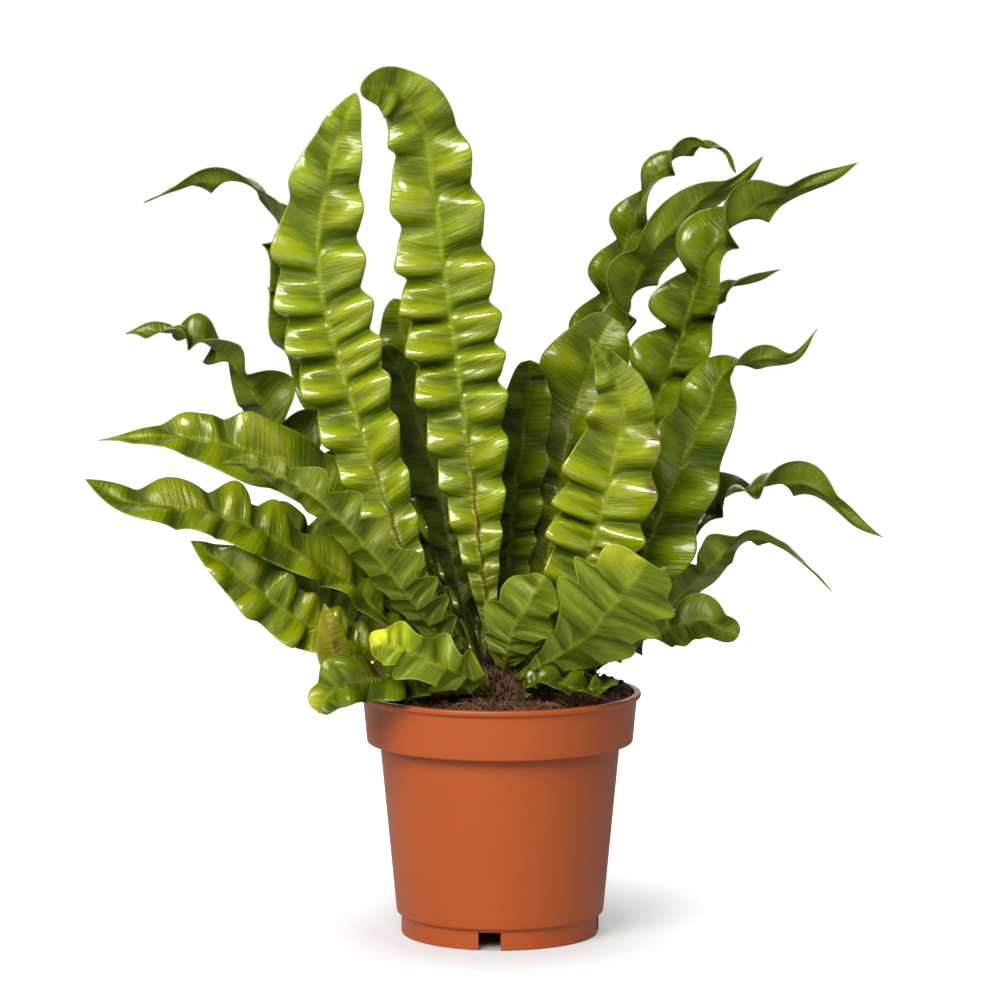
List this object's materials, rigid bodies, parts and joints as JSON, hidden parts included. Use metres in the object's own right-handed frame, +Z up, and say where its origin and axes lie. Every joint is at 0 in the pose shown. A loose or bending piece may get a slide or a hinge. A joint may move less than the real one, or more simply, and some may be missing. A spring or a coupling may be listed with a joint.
{
  "type": "potted fern",
  "caption": "Nest fern with crinkle-edged strap fronds rising and arching from a scaly crown, in a round tapered nursery pot with a stepped collar.",
  "frame": {"origin": "on the surface the pot stands on, under the middle of the whole plant's bounding box; the centre of the pot's foot is at x 4.5 mm, y -62 mm", "axes": "+Z up; +X to the right and -Y towards the viewer, as the picture shows the plant"},
  "size_m": [0.3897, 0.2766, 0.4285],
  "materials": {
    "pot": "satin terracotta-coloured moulded plastic",
    "soil": "dark brown peat and coir potting mix, rough",
    "crown": "reddish-brown papery scales, rough",
    "frond_green": "glossy yellow-green upper side, matte underside",
    "frond_dark": "glossy darker green",
    "frond_pale": "matte pale grey-green underside",
    "frond_yellow": "yellowing old frond with brown flecks"
  },
  "bodies": {
    "root": {"pot": "pot", "soil": "soil", "crown": "crown", "frond_tall_left": "frond_green", "frond_tall_middle": "frond_green", "frond_broad_right": "frond_green", "frond_short_front": "frond_pale", "frond_arched_right": "frond_dark", "frond_pale_left": "frond_pale", "frond_wide_front": "frond_pale", "frond_low_right": "frond_dark", "frond_long_right": "frond_dark", "frond_curly_right_1": "frond_dark", "frond_broad_behind": "frond_green", "frond_narrow_middle": "frond_dark", "frond_dark_behind": "frond_dark", "frond_twisted_left": "frond_dark", "frond_long_left_1": "frond_green", "frond_inner_left_1": "frond_dark", "frond_long_left_2": "frond_green", "frond_drooping_right": "frond_pale", "frond_curly_right_2": "frond_dark", "frond_curly_right_3": "frond_dark", "frond_curly_right_4": "frond_dark", "frond_back_low": "frond_green", "frond_back_middle": "frond_green", "frond_bright_behind": "frond_green", "frond_back_left": "frond_green", "frond_curly_left": "frond_dark", "frond_inner_left_2": "frond_dark", "frond_small_left": "frond_pale", "frond_low_left": "frond_green", "frond_yellow_left": "frond_yellow", "frond_over_rim": "frond_dark", "frond_curled_front": "frond_pale", "frond_frilled_root": "frond_dark"}
  },
  "joints": []
}
